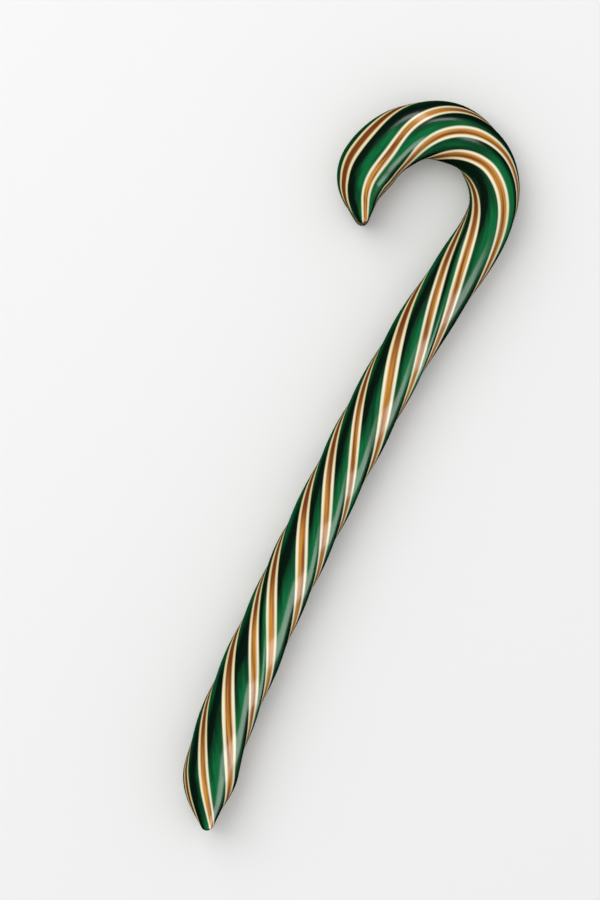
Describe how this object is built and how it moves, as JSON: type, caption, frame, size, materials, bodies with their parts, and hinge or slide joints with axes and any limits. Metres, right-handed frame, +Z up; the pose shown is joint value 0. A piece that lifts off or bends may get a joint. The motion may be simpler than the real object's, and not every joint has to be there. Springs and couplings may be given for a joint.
{
  "type": "candy cane",
  "caption": "Twisted boiled-sugar cane with a hooked end and snipped tips, glossy green with caramel and cream stripes, lying on its side.",
  "frame": {"origin": "under the middle of the cane's box, on the surface it lies on", "axes": "+Z up through the rod's thickness, +Y along the shaft from the foot to the hook's crown, the hook turning towards -X"},
  "size_m": [0.0456, 0.1882, 0.0126],
  "materials": {
    "sugar": "glossy boiled sugar, dark green with twisted caramel stripes edged in cream"
  },
  "bodies": {
    "root": {"candy_cane": "sugar"}
  },
  "joints": []
}
